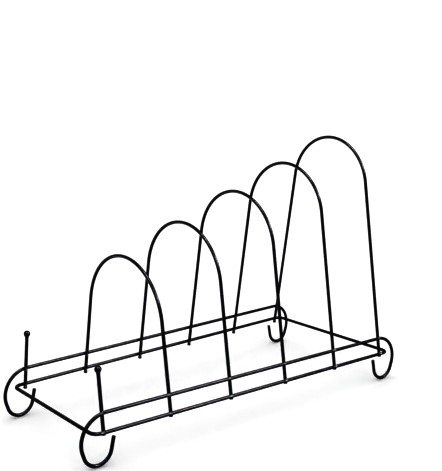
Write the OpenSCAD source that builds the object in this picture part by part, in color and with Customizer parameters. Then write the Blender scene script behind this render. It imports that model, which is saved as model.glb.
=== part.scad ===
// Plate rack of bent and spot-welded round steel wire.
// A closed base frame lies level above the table. Two rails run above its long sides,
// and each end of a rail curls down into an open scroll, which is a foot. Five arched
// hoops, each taller than the last, and a pair of ball-tipped posts stand inside the
// frame and the rails, welded to both wherever they cross. What the rack holds stands on
// edge in the five slots between them, and leans on the hoop at the slot's tall side.
// Units are millimetres. +X runs towards the tallest hoop, +Z is up, and the table is z = 0.

/* [Wire] */
// Diameter of the round wire that every bent piece is made of
wire_d = 2.4; // [1.8:0.1:3.2]
// How much thinner the wire draws down in a bend
bend_draw = 0.02; // [0.01:0.01:0.1]
// How far two crossing wires sink into each other at a spot weld
weld_sink = 0.15; // [0.05:0.05:0.4]

/* [Slots] */
// Distance between the centre lines of neighbouring uprights, with one slot between them
slot_pitch = 50.8; // [40:0.2:64]

/* [Base frame] */
// How far the frame's short sides lie outside the first and last uprights
end_margin = 8; // [7:0.5:14]
// Width between the long sides' centre lines at the low end
low_end_w = 106.5; // [95:0.5:115]
// Width between the long sides' centre lines at the tall end
tall_end_w = 126; // [116:0.5:150]
// Centre-line radius of the frame's four corner bends
corner_r = 6; // [3.5:0.5:6.5]
// Length of the butt weld that closes the loop
seam_l = 1.6; // [1:0.1:4]
// How far the butt weld swells past the wire's surface
seam_swell = 0.15; // [0.05:0.05:0.4]

/* [Rails] */
// Height of the rails' centre lines above the base frame's
rail_rise = 12.3; // [8:0.1:18]

/* [Scroll feet] */
// How far the scrolls' centre lines reach past the base frame's short sides
scroll_reach = 7.8; // [6:0.1:12]
// Centre-line radius of the wide bend that turns the rail down
scroll_top_r = 18; // [14:0.5:22]
// Angle that the wide bend turns through
scroll_top_turn = 108; // [95:1:120]
// Straight length between the wide bend and the tight bend
scroll_side = 3.5; // [1:0.5:8]
// Centre-line radius of the tight bend that stands on the table
scroll_foot_r = 10; // [7:0.5:13]
// Angle that the tight bend turns through
scroll_foot_turn = 150; // [120:1:165]
// Straight length from the tight bend to the scroll's cut end
scroll_tip = 9; // [5:0.5:11]

/* [Hoops] */
// Height of the shortest hoop's crown above the base frame, between centre lines
hoop_h = 95.3; // [80:0.1:115]
// How much taller each hoop is than the one before it
hoop_step = 18.35; // [8:0.05:24]
// Angle from upright that the hoops' legs lean in towards each other
leg_lean = 9; // [4:0.5:12]
// How far the legs' cut ends reach below the base frame's centre line
leg_tail = 3; // [2:0.1:5]

/* [Posts] */
// Height of the ball centres above the base frame's centre line
post_h = 39; // [28:0.5:60]
// How far the posts' cut ends reach below the base frame's centre line
post_tail = 2.6; // [2:0.1:5]
// How much deeper the posts are pressed into the rails than the hoops are
post_press = 0.35; // [0:0.05:0.5]
// Diameter of the ball on each post
ball_d = 4.5; // [3.6:0.1:8]

/* [Hidden] */
$fn = 64;

front = -1;
back = 1;
slot_count = 5;
black_paint = [0.07, 0.07, 0.08];

// The angle by which a bend runs on, at both ends, inside the straights that it joins.
bend_lap = 0.5;

// Stations along X: the posts are station 0, and the hoops are stations 1 to 5.
post_x = -slot_pitch * slot_count / 2;
function station_x(i) = post_x + slot_pitch * i;

// The plan of the base frame, which widens steadily towards the tall end.
base_l = slot_pitch * slot_count + 2 * end_margin;
base_taper = atan((tall_end_w - low_end_w) / 2 / base_l);
side_l = base_l / cos(base_taper);
function base_half_w(x) = (low_end_w + tall_end_w) / 4 + x * tan(base_taper);

// The length of wire that a corner bend takes off each of the two sides that meet there.
function corner_cut(turn) = corner_r * tan(turn / 2);
low_turn = 90 - base_taper;
tall_turn = 90 + base_taper;

// Heights of the centre lines above the table, from the feet up.
scroll_drop = scroll_top_r * (1 - cos(scroll_top_turn))
            + scroll_side * sin(scroll_top_turn)
            + scroll_foot_r * (1 + cos(scroll_top_turn));
rail_z = scroll_drop + wire_d / 2;
base_z = rail_z - rail_rise;

// The rails stand in from the base frame by as much as a leaning leg does between them.
rail_inset = rail_rise * tan(leg_lean);
rail_half_w = base_half_w(0) - rail_inset;
rail_half_l = (base_l / 2 + scroll_reach) / cos(base_taper) - scroll_top_r;

// Sideways room, across the rack, between a long wire and an upright that is welded to it.
function weld_room(lean) = (wire_d - weld_sink) / cos(lean) / cos(base_taper);
function foot_half_w(x, lean) = base_half_w(x) - weld_room(lean);

// The arch that both straight legs of hoop i run into without a kink.
function crown_h(i) = hoop_h + hoop_step * (i - 1);
function arch_r(i) = (foot_half_w(station_x(i), leg_lean) * cos(leg_lean) - crown_h(i) * sin(leg_lean))
                   / (1 - sin(leg_lean));
function leg_l(i) = (crown_h(i) - arch_r(i) * (1 - sin(leg_lean)) + leg_tail) / cos(leg_lean);

// A post is pressed deeper into its rail, so it stands a little straighter than a leg.
post_lean = atan((rail_inset - post_press) / rail_rise);
ball_flat = sqrt(pow(ball_d / 2, 2) - pow(wire_d / 2, 2));
post_l = (post_h + post_tail) / cos(post_lean) - ball_flat;

// One bend of the wire: it starts at the origin along +X and turns down towards -Z.
// A whole ring is cut back to the bend by a block behind its start and one beyond its end.
module bend(radius, turn) {
    reach = radius + wire_d;
    block = [reach, 2 * wire_d, 2 * reach];
    translate([0, 0, -radius])
        difference() {
            rotate([90, 0, 180])
                rotate_extrude() translate([radius, 0]) circle(d = wire_d - bend_draw);
            rotate([0, -bend_lap, 0]) translate([-reach, -wire_d, -reach]) cube(block);
            rotate([0, turn + bend_lap, 0]) translate([0, -wire_d, -reach]) cube(block);
        }
}

// A wire that starts at the origin along +X, as a wire bender is set to make it.
// Each step is [straight length, bend radius, bend angle], and every bend turns towards -Z.
module bent_wire(steps) {
    straight = steps[0][0];
    radius = steps[0][1];
    turn = steps[0][2];
    if (straight > 0)
        rotate([0, 90, 0]) cylinder(d = wire_d, h = straight);
    translate([straight, 0, 0]) {
        if (turn > 0)
            bend(radius, turn);
        if (len(steps) > 1)
            translate([0, 0, -radius])
                rotate([0, turn, 0])
                    translate([0, 0, radius])
                        bent_wire([for (i = [1 : len(steps) - 1]) steps[i]]);
    }
}

// A wire that is alike on both sides of the plane that its middle lies in.
module mirrored(axis) {
    children();
    mirror(axis) children();
}

// One closed loop. Each half starts at the middle of the low short side, and the ends
// meet in a butt weld at the middle of the tall one, which swells a little past the wire.
module base_frame() {
    color(black_paint)
        translate([0, 0, base_z]) {
            mirrored([0, 1, 0])
                translate([-base_l / 2, 0, 0])
                    rotate([-90, 0, 90])
                        bent_wire([
                            [low_end_w / 2 - corner_cut(low_turn), corner_r, low_turn],
                            [side_l - corner_cut(low_turn) - corner_cut(tall_turn), corner_r, tall_turn],
                            [tall_end_w / 2 - corner_cut(tall_turn) - seam_l / 4, 0, 0]
                        ]);
            translate([base_l / 2, 0, 0])
                rotate([90, 0, 0]) cylinder(d = wire_d + 2 * seam_swell, h = seam_l, center = true);
        }
}

// One rail, from its middle out to the scroll that each end curls into. It lies in an
// upright plane of its own, parallel to the frame's long side.
module rail(side) {
    color(black_paint)
        translate([0, side * rail_half_w, rail_z])
            rotate([0, 0, side * base_taper])
                mirrored([1, 0, 0])
                    bent_wire([
                        [rail_half_l, scroll_top_r, scroll_top_turn],
                        [scroll_side, scroll_foot_r, scroll_foot_turn],
                        [scroll_tip, 0, 0]
                    ]);
}

// Hoop i: up the front leg, over the round arch and down the back leg.
module hoop(i) {
    x = station_x(i);
    cut_end_y = foot_half_w(x, leg_lean) + leg_tail * tan(leg_lean);
    color(black_paint)
        translate([x, -cut_end_y, base_z - leg_tail])
            rotate([-leg_lean, 0, 0])
                rotate([0, -90, 90])
                    bent_wire([
                        [leg_l(i), arch_r(i), 180 - 2 * leg_lean],
                        [leg_l(i), 0, 0]
                    ]);
}

// The frame that a post and its ball share: its origin is the post's cut lower end.
module at_post(side) {
    cut_end_y = foot_half_w(post_x, post_lean) + post_tail * tan(post_lean);
    translate([post_x, side * cut_end_y, base_z - post_tail])
        rotate([side * post_lean, 0, 0])
            children();
}

module post(side) {
    color(black_paint)
        at_post(side) cylinder(d = wire_d, h = post_l);
}

// A steel ball with a small flat that sits on the post's flat top end.
module ball(side) {
    color(black_paint)
        at_post(side)
            translate([0, 0, post_l + ball_flat])
                difference() {
                    sphere(d = ball_d);
                    translate([-ball_d, -ball_d, -ball_flat - 2 * ball_d])
                        cube([2 * ball_d, 2 * ball_d, 2 * ball_d]);
                }
}

base_frame();
rail(front);  // front_rail
rail(back);  // back_rail
post(front);  // front_post
post(back);  // back_post
ball(front);  // front_ball
ball(back);  // back_ball
hoop(1);  // hoop_1
hoop(2);  // hoop_2
hoop(3);  // hoop_3
hoop(4);  // hoop_4
hoop(5);  // hoop_5
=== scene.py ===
"""The looks of a black wire plate rack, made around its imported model.

Everything is in metres, in the model's own frame: +X runs along the row of hoops towards the
tallest, +Y goes across the rack to its back rail, +Z is up, and the table is z = 0.
"""
import math

import bpy
from mathutils import Matrix, Vector
from mathutils.geometry import intersect_line_line


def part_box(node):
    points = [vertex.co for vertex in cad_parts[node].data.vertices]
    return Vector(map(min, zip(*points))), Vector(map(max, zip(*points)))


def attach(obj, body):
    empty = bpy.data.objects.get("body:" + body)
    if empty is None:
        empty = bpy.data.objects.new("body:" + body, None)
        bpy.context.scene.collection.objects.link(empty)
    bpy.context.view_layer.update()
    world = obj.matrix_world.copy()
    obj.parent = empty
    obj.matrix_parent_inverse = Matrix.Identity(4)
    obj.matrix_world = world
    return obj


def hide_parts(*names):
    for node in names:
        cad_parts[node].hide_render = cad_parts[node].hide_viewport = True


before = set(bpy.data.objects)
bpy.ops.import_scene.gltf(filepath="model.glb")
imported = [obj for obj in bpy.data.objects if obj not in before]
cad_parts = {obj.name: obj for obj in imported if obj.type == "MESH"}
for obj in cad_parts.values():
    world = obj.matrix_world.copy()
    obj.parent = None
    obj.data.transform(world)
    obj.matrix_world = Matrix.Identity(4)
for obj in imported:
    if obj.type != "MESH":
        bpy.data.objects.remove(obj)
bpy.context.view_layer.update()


# The base frame: one closed loop of drawn steel wire with four bent corners, butt-welded at
# the middle of its tall short side. It lies level, carries every upright at a spot weld, and
# is dipped in black enamel with the rest of the rack.
wire_d = 0.0024
slot_pitch = 0.0508
slot_count = 5
end_margin = 0.008
low_end_w = 0.1065
tall_end_w = 0.126
corner_r = 0.006
frame_l = slot_pitch * slot_count + 2 * end_margin
frame_taper = math.atan((tall_end_w - low_end_w) / 2 / frame_l)
frame_low, frame_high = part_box("base_frame")
frame_z = (frame_low.z + frame_high.z) / 2
ring_spacing = 0.0005


def bent_line(steps):
    """The centre line of a wire, as a wire bender makes it from (straight, radius, angle) steps.

    It starts at the origin along +X, and every bend turns towards -Z.
    """
    place, heading = Vector((0, 0, 0)), 0.0
    line = [place]
    for straight, radius, angle in steps:
        ahead = Vector((math.cos(heading), 0, -math.sin(heading)))
        rings = math.ceil(straight / ring_spacing)
        line += [place + ahead * (straight * ring / rings) for ring in range(1, rings + 1)]
        place = line[-1]
        centre = place + radius * Vector((-math.sin(heading), 0, -math.cos(heading)))
        rings = math.ceil(radius * angle / ring_spacing)
        for ring in range(1, rings + 1):
            turned = heading + angle * ring / rings
            line.append(centre + radius * Vector((math.sin(turned), 0, math.cos(turned))))
        place = line[-1]
        heading += angle
    return line


def corner_cut(angle):
    """The length of wire that a corner bend takes off each of the two sides that meet there."""
    return corner_r * math.tan(angle / 2)


def frame_line():
    """The loop: one half bent from the middle of the low end, then its mirror image."""
    low_angle = math.pi / 2 - frame_taper
    tall_angle = math.pi / 2 + frame_taper
    side_l = frame_l / math.cos(frame_taper)
    half = bent_line([
        (low_end_w / 2 - corner_cut(low_angle), corner_r, low_angle),
        (side_l - corner_cut(low_angle) - corner_cut(tall_angle), corner_r, tall_angle),
        (tall_end_w / 2 - corner_cut(tall_angle), 0, 0),
    ])
    back_half = [Vector((-frame_l / 2 - point.z, point.x, frame_z)) for point in half]
    front_half = [Vector((point.x, -point.y, point.z)) for point in back_half]
    return back_half + front_half[-2:0:-1]


def line_mesh(name, line, closed=False):
    """A centre line as a mesh of vertices joined by edges."""
    edges = [(ring, ring + 1) for ring in range(len(line) - 1)]
    if closed:
        edges.append((len(line) - 1, 0))
    mesh = bpy.data.meshes.new(name)
    mesh.from_pydata(line, edges, [])
    return mesh


# Where the uprights cross the long wires. The posts are at station 0 and the hoops at stations
# 1 to 5, inside both the base frame and the rails above it. Every crossing is a spot weld: two
# electrodes squeezed the hot wires together and left a small flat on each.
rail_rise = 0.0123
leg_lean = math.radians(9)
rail_inset = rail_rise * math.tan(leg_lean)
post_press = 0.00035
post_lean = math.atan((rail_inset - post_press) / rail_rise)
weld_sink = 0.00015
front, back = -1, 1

# On the long wires each flat lies a little to the low end's side of its crossing. Beside the
# posts the rails already bend down there, so those two flats sit lower as well.
electrode_shift = 0.0019
post_rail_sag = 0.00035


def station_x(station):
    """A station's place along the rack."""
    return slot_pitch * (station - slot_count / 2)


def frame_half_w(x):
    """Half the width between the frame's long sides at a place along the rack."""
    return (low_end_w + tall_end_w) / 4 + x * math.tan(frame_taper)


def foot_half_w(x, lean):
    """Half the width between the uprights that stand there, at the height of the frame."""
    return frame_half_w(x) - (wire_d - weld_sink) / math.cos(lean) / math.cos(frame_taper)


def spot_welds(station, lean):
    """The four welds of a station: the place of each, the ways from it out to the long wire's
    middle and along that wire, and how far aside the long wire's flat lies.
    """
    x = station_x(station)
    welds = []
    for side in (front, back):
        foot = Vector((x, side * foot_half_w(x, lean), frame_z))
        up = Vector((0, -side * math.sin(lean), math.cos(lean)))
        along = Vector((math.cos(frame_taper), side * math.sin(frame_taper), 0))
        for rise, inset in ((0, 0), (rail_rise, rail_inset)):
            on_side = Vector((x, side * (frame_half_w(x) - inset), frame_z + rise))
            long_middle, upright_middle = intersect_line_line(
                on_side, on_side + along, foot, foot + up)
            sag = post_rail_sag if station == 0 and rise else 0
            welds.append({
                "place": (long_middle + upright_middle) / 2,
                "outward": (long_middle - upright_middle) / 2,
                "along": along,
                "aside": -electrode_shift * along - Vector((0, 0, sag)),
            })
    return welds


post_welds = spot_welds(0, post_lean)
hoop_welds = [weld for hoop in range(1, slot_count + 1) for weld in spot_welds(hoop, leg_lean)]


def weld_points(name, welds):
    """An object with one vertex at each weld, which keeps the weld's directions."""
    mesh = bpy.data.meshes.new(name)
    mesh.from_pydata([weld["place"] for weld in welds], [], [])
    for label in ("outward", "along", "aside"):
        layer = mesh.attributes.new(label, "FLOAT_VECTOR", "POINT")
        for number, weld in enumerate(welds):
            layer.data[number].vector = weld[label]
    points = bpy.data.objects.new(name, mesh)
    bpy.context.collection.objects.link(points)
    return points


all_weld_points = weld_points("all_weld_points", post_welds + hoop_welds)


class Nodes:
    """Adds nodes to a tree. Each call adds one, feeds its inputs and gives back an output."""

    def __init__(self, tree):
        self.tree = tree

    @staticmethod
    def find(sockets, key):
        """The socket with a name, or with a number among those in use."""
        usable = [socket for socket in sockets if socket.enabled]
        if isinstance(key, int):
            return usable[key]
        return next(socket for socket in usable if socket.name == key)

    def add(self, kind, inputs=None, output=0, **settings):
        node = self.tree.nodes.new(kind)
        for name, value in settings.items():
            setattr(node, name, value)
        for key, value in (inputs or {}).items():
            socket = self.find(node.inputs, key)
            if isinstance(value, bpy.types.NodeSocket):
                self.tree.links.new(value, socket)
            else:
                socket.default_value = value
        return self.find(node.outputs, output) if node.outputs else None

    def math(self, operation, *values):
        return self.add("ShaderNodeMath", dict(enumerate(values)), operation=operation)

    def vector(self, operation, *values):
        return self.add("ShaderNodeVectorMath", dict(enumerate(values)), operation=operation)

    def smooth(self, value, low, high, to_low=0.0, to_high=1.0):
        """Runs smoothly from to_low to to_high while the value goes from low to high."""
        return self.add("ShaderNodeMapRange", {
            "Value": value, "From Min": low, "From Max": high, "To Min": to_low, "To Max": to_high,
        }, interpolation_type="SMOOTHSTEP")

    def blend(self, amount, first, second):
        """A colour between two, by an amount from 0 to 1."""
        return self.add("ShaderNodeMix", {
            "Factor": amount, "A": first, "B": second,
        }, data_type="RGBA")

    def stored(self, label, kind="FLOAT_VECTOR"):
        """What was stored on a geometry's points under a label."""
        return self.add("GeometryNodeInputNamedAttribute", {"Name": label}, data_type=kind)

    def store(self, geometry, label, value):
        """The geometry with a number stored on each of its points."""
        return self.add("GeometryNodeStoreNamedAttribute", {
            "Geometry": geometry, "Name": label, "Value": value,
        }, data_type="FLOAT", domain="POINT")


def make_black_enamel():
    """Dipped and stoved black enamel: a mottled semi-gloss black with a faint orange peel.

    It is thinner and a little greyer where the welding electrodes flattened the wire, and at the
    edges of the cut ends. On the flats that grey is paler than thin paint alone would be: it is
    also a painted highlight.
    """
    deep_black = (0.0250, 0.0240, 0.0360, 1)
    soft_black = (0.0390, 0.0380, 0.0540, 1)
    # Thin paint's grey, pale enough that on the weld flats it is also a painted highlight.
    thin_paint_and_highlight_grey = (0.210, 0.205, 0.222, 1)
    cloud_share = 0.7
    glossiest, dullest = 0.19, 0.26
    grain_dulling = 0.06
    peel_height = 0.00004

    material = bpy.data.materials.new("black_enamel")
    material.use_nodes = True
    material.node_tree.nodes.clear()
    nodes = Nodes(material.node_tree)
    place = nodes.add("ShaderNodeTexCoord", output="Object")
    cloud = nodes.add("ShaderNodeTexNoise", {"Vector": place, "Scale": 140.0, "Detail": 3.0})
    grain = nodes.add("ShaderNodeTexNoise", {"Vector": place, "Scale": 2600.0, "Detail": 2.0})
    peel = nodes.add("ShaderNodeTexNoise", {"Vector": place, "Scale": 950.0, "Detail": 1.5})
    thin_and_highlight = nodes.add("ShaderNodeAttribute", output="Fac", attribute_name="thin_paint")

    cloudy = nodes.math("MULTIPLY", cloud, cloud_share)
    grainy = nodes.math("MULTIPLY", grain, 1 - cloud_share)
    mottle = nodes.smooth(nodes.math("ADD", cloudy, grainy), 0.36, 0.64)
    black = nodes.blend(mottle, deep_black, soft_black)
    # On the flats this mask lays thin paint and a painted highlight together; at the cut edges
    # only thin paint.
    thin_and_highlight_in_grains = nodes.math("MULTIPLY", thin_and_highlight, nodes.smooth(grain, 0.3, 0.6, 0.45, 1.0))
    colour = nodes.blend(thin_and_highlight_in_grains, black, thin_paint_and_highlight_grey)
    roughness = nodes.smooth(cloud, 0.35, 0.65, glossiest, dullest)
    roughness = nodes.math("ADD", roughness, nodes.math("MULTIPLY", grain, grain_dulling))
    normal = nodes.add("ShaderNodeBump", {
        "Height": peel, "Strength": 0.35, "Distance": peel_height,
    })
    paint = nodes.add("ShaderNodeBsdfPrincipled", {
        "Base Color": colour,
        "Roughness": roughness,
        "Specular IOR Level": 0.5,
        "Normal": normal,
    })
    nodes.add("ShaderNodeOutputMaterial", {"Surface": paint})
    return material


black_enamel = make_black_enamel()


def new_tree(name, sizes):
    """A Geometry Nodes tree with a geometry in and out and a named input for each size."""
    tree = bpy.data.node_groups.new(name, "GeometryNodeTree")
    tree.interface.new_socket("Geometry", in_out="INPUT", socket_type="NodeSocketGeometry")
    for label, kind in sizes.items():
        tree.interface.new_socket(label, in_out="INPUT", socket_type=kind)
    tree.interface.new_socket("Geometry", in_out="OUTPUT", socket_type="NodeSocketGeometry")
    nodes = Nodes(tree)
    entry = tree.nodes.new("NodeGroupInput")
    return tree, nodes, {socket.name: socket for socket in entry.outputs if socket.name}


def finish_tree(nodes, geometry):
    """Ends a tree: real geometry, smooth faces and the enamel on all of them."""
    geometry = nodes.add("GeometryNodeRealizeInstances", {"Geometry": geometry})
    geometry = nodes.add("GeometryNodeSetShadeSmooth", {0: geometry})
    geometry = nodes.add("GeometryNodeSetMaterial", {
        "Geometry": geometry, "Material": black_enamel,
    })
    nodes.add("NodeGroupOutput", {0: geometry})


def run_tree(name, mesh, tree, sizes):
    """Runs a tree on a mesh, and keeps what comes out as a plain mesh object."""
    piece = bpy.data.objects.new(name, mesh)
    bpy.context.collection.objects.link(piece)
    shaper = piece.modifiers.new("shape", "NODES")
    shaper.node_group = tree
    for socket in tree.interface.items_tree:
        if socket.name in sizes:
            shaper[socket.identifier] = sizes[socket.name]
    evaluated = piece.evaluated_get(bpy.context.evaluated_depsgraph_get())
    shaped = bpy.data.meshes.new_from_object(evaluated)
    piece.modifiers.remove(shaper)
    piece.data = shaped
    shaped.name = name
    bpy.data.meshes.remove(mesh)
    return piece


def uneven_paint(nodes, geometry, unevenness, seed):
    """Paint that is a little thinner here and there: points move in, never out."""
    place = nodes.add("GeometryNodeInputPosition")
    thickness = nodes.add("ShaderNodeTexNoise", {
        "Vector": place, "W": seed, "Scale": 520.0, "Detail": 2.0, "Roughness": 0.55,
    }, noise_dimensions="4D")
    normal = nodes.add("GeometryNodeInputNormal")
    depth = nodes.math("MULTIPLY", nodes.smooth(thickness, 0.3, 0.7, 0.35, 1.0), unevenness)
    offset = nodes.vector("SCALE", normal, nodes.math("MULTIPLY", depth, -1.0))
    return nodes.add("GeometryNodeSetPosition", {"Geometry": geometry, "Offset": offset})


def ring_radius(nodes, size):
    """How thick the painted wire is along its centre line, and how far a place is into the
    rounding of a cut edge, from 0 to 1.

    The enamel gathers in a bead towards a cut end, and a butt-welded seam swells.
    """
    walked = nodes.add("GeometryNodeSplineParameter", output="Length")
    whole = nodes.add("GeometryNodeSplineLength", output="Length")
    from_end = nodes.math("MINIMUM", walked, nodes.math("SUBTRACT", whole, walked))
    edge_r = size["Cut Edge Radius"]
    into_edge = nodes.math("DIVIDE", nodes.math("SUBTRACT", edge_r, from_end), edge_r)
    into_edge = nodes.math("MAXIMUM", into_edge, 0.0)
    left = nodes.math("SUBTRACT", 1.0, nodes.math("MULTIPLY", into_edge, into_edge))
    lost = nodes.math("SUBTRACT", 1.0, nodes.math("SQRT", left))
    rounding = nodes.math("MULTIPLY", edge_r, lost)

    near_end = nodes.smooth(from_end, 0.0, size["Bead Length"], 1.0, 0.0)
    bead = nodes.math("MULTIPLY", size["Paint Bead"], near_end)
    place = nodes.add("GeometryNodeInputPosition")
    from_seam = nodes.vector("DISTANCE", place, size["Seam Place"])
    seam_end = nodes.math("MULTIPLY", size["Seam Length"], 0.5)
    near_seam = nodes.smooth(from_seam, 0.0, seam_end, 1.0, 0.0)
    seam = nodes.math("MULTIPLY", size["Seam Swell"], near_seam)

    radius = nodes.math("MULTIPLY", size["Wire Diameter"], 0.5)
    radius = nodes.math("ADD", nodes.math("ADD", radius, bead), seam)
    return nodes.math("SUBTRACT", radius, rounding), into_edge


def electrode_flats(nodes, size):
    """How far the electrodes pushed the wire's skin in, and how much that thinned its paint, which
    also sets the painted highlight on each flat.

    Every place on the wire looks at the weld that is nearest to it. A flat is level in the
    middle and rises to the round wire towards its rim.
    """
    level_share = 0.7
    palest_share = 0.4

    welds = nodes.add("GeometryNodeObjectInfo", {"Object": size["Weld Points"]}, output="Geometry")
    nearest = nodes.add("GeometryNodeSampleNearest", {"Geometry": welds})

    def at_nearest(value):
        return nodes.add("GeometryNodeSampleIndex", {
            "Geometry": welds, "Value": value, "Index": nearest,
        }, data_type="FLOAT_VECTOR", domain="POINT")

    place = nodes.add("GeometryNodeInputPosition")
    outward = at_nearest(nodes.stored("outward"))
    aside = nodes.vector("SCALE", at_nearest(nodes.stored("aside")), size["Flat Aside"])
    to_middle = nodes.vector("SCALE", outward, size["Pressed Side"])
    middle = nodes.vector("ADD", nodes.vector("ADD", at_nearest(place), to_middle), aside)
    slant = nodes.add("ShaderNodeCombineXYZ", {"Z": size["Electrode Slant"]})
    press_way = nodes.vector("ADD", nodes.vector("NORMALIZE", outward), slant)
    press_way = nodes.vector("NORMALIZE", press_way)
    press_way = nodes.vector("SCALE", press_way, size["Pressed Side"])

    offset = nodes.vector("SUBTRACT", place, middle)
    height = nodes.vector("DOT_PRODUCT", offset, press_way)
    sideways = nodes.vector("SUBTRACT", offset, nodes.vector("SCALE", press_way, height))
    sideways = nodes.vector("LENGTH", sideways)
    depth = size["Electrode Depth"]
    wire_r = nodes.math("MULTIPLY", size["Wire Diameter"], 0.5)
    level = nodes.math("SUBTRACT", wire_r, depth)
    rim_start = nodes.math("MULTIPLY", size["Electrode Radius"], level_share)
    rim = nodes.smooth(sideways, rim_start, size["Electrode Radius"], 0.0, depth)
    pressed = nodes.math("SUBTRACT", height, nodes.math("ADD", level, rim))
    pressed = nodes.math("MAXIMUM", pressed, 0.0)
    under_electrode = nodes.math("LESS_THAN", sideways, size["Electrode Radius"])
    pressed = nodes.math("MULTIPLY", pressed, under_electrode)
    shift = nodes.vector("SCALE", press_way, nodes.math("MULTIPLY", pressed, -1.0))
    # Deepest in a flat the paint is thinnest and the painted highlight palest.
    palest_at = nodes.math("MULTIPLY", depth, palest_share)
    thinness_and_highlight = nodes.math("MINIMUM", nodes.math("DIVIDE", pressed, palest_at), 1.0)
    return shift, thinness_and_highlight


def make_wire_tree():
    """Round painted wire along a centre line, with electrode flats and rounded cut ends."""
    cut_edge_thinness = 0.5

    tree, nodes, size = new_tree("painted_wire", {
        "Wire Diameter": "NodeSocketFloat",
        "Sides": "NodeSocketInt",
        "Cut Edge Radius": "NodeSocketFloat",
        "Paint Bead": "NodeSocketFloat",
        "Bead Length": "NodeSocketFloat",
        "Seam Place": "NodeSocketVector",
        "Seam Swell": "NodeSocketFloat",
        "Seam Length": "NodeSocketFloat",
        "Weld Points": "NodeSocketObject",
        "Pressed Side": "NodeSocketFloat",
        "Electrode Slant": "NodeSocketFloat",
        "Electrode Depth": "NodeSocketFloat",
        "Electrode Radius": "NodeSocketFloat",
        "Flat Aside": "NodeSocketFloat",
        "Paint Unevenness": "NodeSocketFloat",
        "Seed": "NodeSocketInt",
    })
    radius, into_edge = ring_radius(nodes, size)
    curve = nodes.add("GeometryNodeMeshToCurve", {0: size["Geometry"]})
    curve = nodes.store(curve, "cut_edge", into_edge)
    profile = nodes.add("GeometryNodeCurvePrimitiveCircle", {
        "Resolution": size["Sides"], "Radius": 1.0,
    })
    tube = nodes.add("GeometryNodeCurveToMesh", {
        "Curve": curve, "Profile Curve": profile, "Scale": radius, "Fill Caps": True,
    })
    shift, flat_thinness_and_highlight = electrode_flats(nodes, size)
    # The flats' pale grey is thin paint and a painted highlight; at the cut edges it is thin paint
    # only.
    edge_thinness = nodes.math("MULTIPLY", nodes.stored("cut_edge", "FLOAT"), cut_edge_thinness)
    thin_and_highlight = nodes.math("MAXIMUM", flat_thinness_and_highlight, edge_thinness)
    tube = nodes.store(tube, "thin_paint", thin_and_highlight)
    tube = nodes.add("GeometryNodeSetPosition", {"Geometry": tube, "Offset": shift})
    tube = uneven_paint(nodes, tube, size["Paint Unevenness"], size["Seed"])
    finish_tree(nodes, tube)
    return tree


wire_tree = make_wire_tree()

# The long wires were pressed from outside and a little from above, away from the uprights.
wire_sizes = {
    "Wire Diameter": wire_d,
    "Sides": 28,
    "Weld Points": all_weld_points,
    "Pressed Side": 1.0,
    "Electrode Slant": 0.80,
    "Electrode Depth": 0.00022,
    "Electrode Radius": 0.0015,
    "Flat Aside": 1.0,
    "Paint Unevenness": 0.000028,
    "Seam Length": 0.001,
    "Bead Length": 0.001,
}

# The loop has no cut ends, so its cut edge radius and its paint bead stay at zero.
loop = line_mesh("frame_line", frame_line(), closed=True)
base_frame = run_tree("base_frame_wire", loop, wire_tree, {
    **wire_sizes,
    "Seam Place": (frame_l / 2, 0, frame_z),
    "Seam Swell": 0.00015,
    "Seam Length": 0.0026,
    "Seed": 1,
})
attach(base_frame, "root")
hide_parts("base_frame")


# The two rails: one wire each of the same steel, spot-welded to the uprights above the long
# sides of the base frame. Both ends curl down, in and up again into open scrolls, which are
# the rack's four feet.
scroll_reach = 0.0078
scroll_top_r = 0.018
scroll_top_turn = math.radians(108)
scroll_side = 0.0035
scroll_foot_r = 0.010
scroll_foot_turn = math.radians(150)
scroll_tip = 0.009
cut_edge_r = 0.0003
cut_edge_rings = 5
side_names = {front: "front", back: "back"}


def with_cut_ends(line, edge_r):
    """The line with more rings close to both cut ends, where their sharp edges are rounded."""
    angles = [math.radians(90 * ring / cut_edge_rings) for ring in range(1, cut_edge_rings + 1)]
    steps = [edge_r * (1 - math.cos(angle)) for angle in angles]
    first_way = (line[1] - line[0]).normalized()
    last_way = (line[-2] - line[-1]).normalized()
    start = [line[0] + first_way * step for step in steps]
    end = [line[-1] + last_way * step for step in reversed(steps)]
    return [line[0]] + start + line[1:-1] + end + [line[-1]]


def rail_line(side):
    """One half bent from the rail's middle out to the scroll, and its mirror image."""
    half_l = (frame_l / 2 + scroll_reach) / math.cos(frame_taper) - scroll_top_r
    half = bent_line([
        (half_l, scroll_top_r, scroll_top_turn),
        (scroll_side, scroll_foot_r, scroll_foot_turn),
        (scroll_tip, 0, 0),
    ])
    whole = [Vector((-point.x, 0, point.z)) for point in reversed(half)] + half[1:]
    middle = Vector((0, side * (frame_half_w(0) - rail_inset), frame_z + rail_rise))
    place = Matrix.Translation(middle) @ Matrix.Rotation(side * frame_taper, 4, "Z")
    return with_cut_ends([place @ point for point in whole], cut_edge_r)


for side, side_name in side_names.items():
    rail = run_tree(f"{side_name}_rail_wire", line_mesh("rail_line", rail_line(side)), wire_tree, {
        **wire_sizes,
        "Cut Edge Radius": cut_edge_r,
        "Paint Bead": 0.00003,
        "Seed": 4 + side,
    })
    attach(rail, "root")
    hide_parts(f"{side_name}_rail")


# The five hoops: each is one wire of the same steel, whose two straight legs lean in and run
# into a round arch, and each is taller than the one before. They are spot-welded inside the
# rails and the base frame, and the enamel gathers in a small bead at their cut ends below.
hoop_h = 0.0953
hoop_step = 0.01835
leg_tail = 0.003
tail_edge_r = 0.00042
hoop_wire_sizes = {
    **wire_sizes,
    "Pressed Side": -1.0,
    "Electrode Slant": 0.0,
    "Flat Aside": 0.0,
    "Cut Edge Radius": tail_edge_r,
    "Paint Bead": 0.00026,
    "Bead Length": 0.0016,
}


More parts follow.
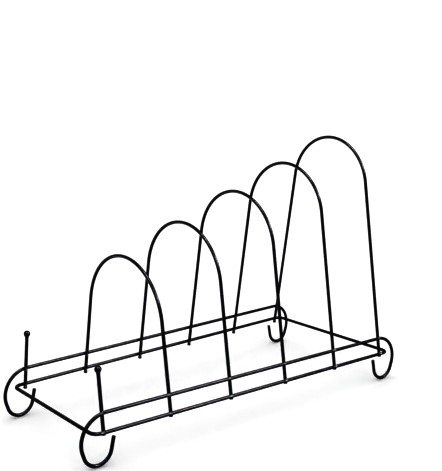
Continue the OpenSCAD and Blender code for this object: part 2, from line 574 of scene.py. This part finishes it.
def hoop_line(hoop):
    """Up the front leg, over the arch and down the back leg."""
    crown_h = hoop_h + hoop_step * (hoop - 1)
    half_w = foot_half_w(station_x(hoop), leg_lean)
    side_room = half_w * math.cos(leg_lean) - crown_h * math.sin(leg_lean)
    arch_r = side_room / (1 - math.sin(leg_lean))
    leg_l = (crown_h - arch_r * (1 - math.sin(leg_lean)) + leg_tail) / math.cos(leg_lean)
    line = bent_line([(leg_l, arch_r, math.pi - 2 * leg_lean), (leg_l, 0, 0)])
    standing = [Vector((0, -point.z, point.x)) for point in line]
    foot = Vector((station_x(hoop), -half_w - leg_tail * math.tan(leg_lean), frame_z - leg_tail))
    place = Matrix.Translation(foot) @ Matrix.Rotation(-leg_lean, 4, "X")
    return with_cut_ends([place @ point for point in standing], tail_edge_r)


for hoop in range(1, slot_count + 1):
    hoop_wire = run_tree(f"hoop_{hoop}_wire", line_mesh("hoop_line", hoop_line(hoop)), wire_tree, {
        **hoop_wire_sizes,
        "Seed": 10 + hoop,
    })
    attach(hoop_wire, "root")
    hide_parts(f"hoop_{hoop}")


# The two posts: short straight wires of the same steel at the low end, spot-welded like the
# hoops' legs but pressed a little deeper into the rails.
post_h = 0.039
post_tail = 0.0026
ball_d = 0.0045
ball_flat = math.sqrt((ball_d / 2) ** 2 - (wire_d / 2) ** 2)
post_l = (post_h + post_tail) / math.cos(post_lean) - ball_flat


def post_place(side):
    """The frame of a post and its ball: the cut lower end is its origin, and +Z goes up it."""
    half_w = foot_half_w(station_x(0), post_lean) + post_tail * math.tan(post_lean)
    foot = Vector((station_x(0), side * half_w, frame_z - post_tail))
    return Matrix.Translation(foot) @ Matrix.Rotation(side * post_lean, 4, "X")


def post_line(side):
    """Straight up from the cut end to the ball."""
    place = post_place(side)
    rings = math.ceil(post_l / ring_spacing)
    line = [place @ Vector((0, 0, post_l * ring / rings)) for ring in range(rings + 1)]
    return with_cut_ends(line, tail_edge_r)


for side, side_name in side_names.items():
    post = run_tree(f"{side_name}_post_wire", line_mesh("post_line", post_line(side)), wire_tree, {
        **hoop_wire_sizes,
        "Seed": 21 + side,
    })
    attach(post, "root")
    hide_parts(f"{side_name}_post")


# The balls: one small steel ball on each post, butt-welded to its top end. The weld leaves a
# low collar round the wire, and the enamel fills the neck between them.
ball_sides = 40
ball_rings = 24
neck_angle = math.radians(36)

# The collar and the neck, from inside the wire up to the ball. Each point is a distance from
# the post's axis and a height above the ball's centre.
neck_profile = [
    (0.0000, -0.00370), (0.00112, -0.00370), (0.00119, -0.00344), (0.00124, -0.00318),
    (0.00127, -0.00292), (0.00128, -0.00268), (0.00125, -0.00246), (0.00121, -0.00224),
    (0.00122, -0.00206), (0.00128, -0.00192),
]


def ball_mesh(name, place):
    """The neck's and the ball's outline, turned once round the post's axis."""
    ball_r = ball_d / 2
    outline = list(neck_profile)
    for ring in range(ball_rings):
        angle = neck_angle + (math.pi - neck_angle) * ring / ball_rings
        outline.append((ball_r * math.sin(angle), -ball_r * math.cos(angle)))
    vertices = [Vector((0, 0, outline[0][1]))]
    for radius, height in outline[1:]:
        for turn in range(ball_sides):
            angle = 2 * math.pi * turn / ball_sides
            vertices.append(Vector((radius * math.cos(angle), radius * math.sin(angle), height)))
    vertices.append(Vector((0, 0, ball_r)))
    rings = len(outline) - 1
    faces = []
    for turn in range(ball_sides):
        after = (turn + 1) % ball_sides
        faces.append((0, 1 + after, 1 + turn))
        for ring in range(rings - 1):
            low, high = 1 + ring * ball_sides, 1 + (ring + 1) * ball_sides
            faces.append((low + turn, low + after, high + after, high + turn))
        last = 1 + (rings - 1) * ball_sides
        faces.append((last + turn, last + after, len(vertices) - 1))
    centre = place @ Matrix.Translation((0, 0, post_l + ball_flat))
    mesh = bpy.data.meshes.new(name)
    mesh.from_pydata([centre @ vertex for vertex in vertices], [], faces)
    return mesh


def make_ball_tree():
    """Enamel on a turned shape."""
    tree, nodes, size = new_tree("painted_ball", {
        "Paint Unevenness": "NodeSocketFloat",
        "Seed": "NodeSocketInt",
    })
    painted = uneven_paint(nodes, size["Geometry"], size["Paint Unevenness"], size["Seed"])
    finish_tree(nodes, painted)
    return tree


ball_tree = make_ball_tree()
for side, side_name in side_names.items():
    outline = ball_mesh("ball_outline", post_place(side))
    ball = run_tree(f"{side_name}_post_ball", outline, ball_tree, {
        "Paint Unevenness": 0.00003,
        "Seed": 31 + side,
    })
    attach(ball, "root")
    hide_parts(f"{side_name}_ball")


# The spot welds: at each crossing the metal that the electrodes squeezed out, and the enamel
# that gathered there, fill the corner between the two round wires with a small bead, which is
# hollowed a little round its waist.
hoop_bead_r = 0.00112
post_bead_r = 0.00114
bead_hollow = 0.00022
bead_sunk = 0.00012
bead_sides = 36
bead_steps = 8


def bead_mesh(name, half_gap, bead_r):
    """One bead about its weld: +Z goes out to the long wire, which runs along X.

    Its wall runs from the upright's surface to the long wire's and ends inside both.
    """
    wire_r = wire_d / 2
    vertices, faces = [], []
    for turn in range(bead_sides):
        angle = 2 * math.pi * turn / bead_sides
        flat = Vector((math.cos(angle), math.sin(angle), 0))
        edge = flat * bead_r
        high = half_gap - math.sqrt(wire_r ** 2 - edge.y ** 2) + bead_sunk
        low = -half_gap + math.sqrt(wire_r ** 2 - edge.x ** 2) - bead_sunk
        for step in range(bead_steps + 1):
            share = step / bead_steps
            waist = bead_hollow * math.sin(math.pi * share)
            vertices.append(flat * (bead_r - waist) + Vector((0, 0, low + (high - low) * share)))
    column = bead_steps + 1
    for turn in range(bead_sides):
        here, after = turn * column, (turn + 1) % bead_sides * column
        for step in range(bead_steps):
            faces.append((here + step, after + step, after + step + 1, here + step + 1))
    for centre_z, row in ((-bead_sunk, 0), (bead_sunk, bead_steps)):
        vertices.append(Vector((0, 0, centre_z)))
        for turn in range(bead_sides):
            here, after = turn * column + row, (turn + 1) % bead_sides * column + row
            middle = len(vertices) - 1
            faces.append((middle, after, here) if row == 0 else (middle, here, after))
    mesh = bpy.data.meshes.new(name)
    mesh.from_pydata(vertices, [], faces)
    return mesh


def make_bead_tree():
    """Sets one bead on every weld, turned to its two wires and a little larger or smaller."""
    tree, nodes, size = new_tree("weld_beads", {
        "Bead": "NodeSocketObject",
        "Smallest": "NodeSocketFloat",
        "Largest": "NodeSocketFloat",
        "Paint Unevenness": "NodeSocketFloat",
        "Seed": "NodeSocketInt",
    })
    points = nodes.add("GeometryNodeMeshToPoints", {0: size["Geometry"]})
    bead = nodes.add("GeometryNodeObjectInfo", {"Object": size["Bead"]}, output="Geometry")
    turned = nodes.add("FunctionNodeAxesToRotation", {
        "Primary Axis": nodes.stored("outward"), "Secondary Axis": nodes.stored("along"),
    }, primary_axis="Z", secondary_axis="X")
    scale = nodes.add("FunctionNodeRandomValue", {
        "Min": size["Smallest"], "Max": size["Largest"], "Seed": size["Seed"],
    }, data_type="FLOAT")
    across = nodes.add("ShaderNodeCombineXYZ", {"X": scale, "Y": scale, "Z": 1.0})
    placed = nodes.add("GeometryNodeInstanceOnPoints", {
        "Points": points, "Instance": bead, "Rotation": turned, "Scale": across,
    })
    placed = nodes.add("GeometryNodeRealizeInstances", {"Geometry": placed})
    finish_tree(nodes, uneven_paint(nodes, placed, size["Paint Unevenness"], size["Seed"]))
    return tree


bead_tree = make_bead_tree()


def weld_beads(name, welds, bead_r, seed):
    """The beads of a group of like welds, as one piece."""
    half_gap = min(weld["outward"].length for weld in welds)
    bead = bpy.data.objects.new("one_bead", bead_mesh("one_bead", half_gap, bead_r))
    bpy.context.collection.objects.link(bead)
    points = weld_points("weld_places", welds)
    beads = run_tree(name, points.data.copy(), bead_tree, {
        "Bead": bead,
        "Smallest": 0.94,
        "Largest": 1.02,
        "Paint Unevenness": 0.00002,
        "Seed": seed,
    })
    bpy.data.objects.remove(points)
    bpy.data.objects.remove(bead)
    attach(beads, "root")


weld_beads("hoop_weld_beads", hoop_welds, hoop_bead_r, seed=41)
weld_beads("post_weld_beads", post_welds, post_bead_r, seed=42)
bpy.data.objects.remove(all_weld_points)


# The stage: a plain white sheet, lit a little from below like a light table, under a white
# studio sky, with soft boxes round it that show in the enamel's gloss. None of it is part
# of the rack.
floor_mesh = bpy.data.meshes.new("floor")
floor_half = 30.0
floor_mesh.from_pydata([
    (-floor_half, -floor_half, 0), (floor_half, -floor_half, 0),
    (floor_half, floor_half, 0), (-floor_half, floor_half, 0),
], [], [(0, 1, 2, 3)])
floor = bpy.data.objects.new("floor", floor_mesh)
bpy.context.collection.objects.link(floor)
floor.visible_glossy = False

floor_paper = bpy.data.materials.new("white_paper")
floor_paper.use_nodes = True
floor_paper.node_tree.nodes.clear()
paper_nodes = Nodes(floor_paper.node_tree)
paper_place = paper_nodes.add("ShaderNodeTexCoord", output="Object")
fibres = paper_nodes.add("ShaderNodeTexNoise", {"Vector": paper_place, "Scale": 30.0})
paper_colour = paper_nodes.blend(fibres, (0.96, 0.96, 0.96, 1), (0.99, 0.99, 0.99, 1))
paper = paper_nodes.add("ShaderNodeBsdfDiffuse", {"Color": paper_colour})
lit_below = paper_nodes.add("ShaderNodeEmission", {"Color": paper_colour, "Strength": 0.04})
lit_paper = paper_nodes.add("ShaderNodeAddShader", {0: paper, 1: lit_below})
paper_nodes.add("ShaderNodeOutputMaterial", {"Surface": lit_paper})
floor_mesh.materials.append(floor_paper)

sky = bpy.data.worlds.new("studio_sky")
bpy.context.scene.world = sky
sky.use_nodes = True
sky.node_tree.nodes.clear()
sky_nodes = Nodes(sky.node_tree)
sky_light = sky_nodes.add("ShaderNodeBackground", {"Color": (1, 1, 1, 1), "Strength": 1.09})
sky_nodes.add("ShaderNodeOutputWorld", {"Surface": sky_light})
sky.cycles_visibility.glossy = False


def soft_box(name, place, target, width, height, power):
    """An even area light that faces a target. It shows in the enamel's gloss only."""
    light = bpy.data.lights.new(name, "AREA")
    light.shape = "RECTANGLE"
    light.size = width
    light.size_y = height
    light.energy = power
    light.color = (0.98, 0.955, 1.0)
    box = bpy.data.objects.new(name, light)
    bpy.context.collection.objects.link(box)
    box.location = place
    box.rotation_euler = (Vector(target) - Vector(place)).to_track_quat("-Z", "Y").to_euler()
    box.visible_diffuse = False
    box.visible_camera = False


rack_middle = (0, 0, 0.05)
soft_box("key_box", (0.63, -0.82, 0.86), rack_middle, width=0.50, height=0.28, power=23.5)
soft_box("fill_box", (-0.75, -0.75, 0.95), rack_middle, width=0.70, height=0.70, power=7.6)
soft_box("back_box", (0.35, 1.05, 0.75), rack_middle, width=0.80, height=0.80, power=2.4)
soft_box("top_box", (-0.10, -0.14, 1.05), rack_middle, width=0.30, height=0.46, power=13.0)

# A panel that lies on the table behind the rack and shines straight up.
soft_box("table_box", (-0.14, 0.42, 0.002), (-0.14, 0.42, 1.0), width=0.66, height=0.50, power=2.5)


# The camera: it stands at the low end, in front and above, where the photograph's perspective
# puts it. The display's gamma brings the thin wires to the depth of black that they have there.
lens = bpy.data.cameras.new("photo_view")
lens.sensor_width = 36
lens.lens = 64.754
camera = bpy.data.objects.new("photo_view", lens)
bpy.context.collection.objects.link(camera)
camera_place = (-0.39161, -0.47435, 0.24147)
yaw, pitch, roll = 0.7033, 0.1886, 0.0105
turn_and_tilt = Matrix.Rotation(-yaw, 4, "Z") @ Matrix.Rotation(math.pi / 2 - pitch, 4, "X")
turned_to_view = turn_and_tilt @ Matrix.Rotation(roll, 4, "Z")
camera.matrix_world = Matrix.Translation(camera_place) @ turned_to_view
bpy.context.scene.camera = camera
bpy.context.scene.view_settings.view_transform = "Standard"
bpy.context.scene.view_settings.gamma = 0.44
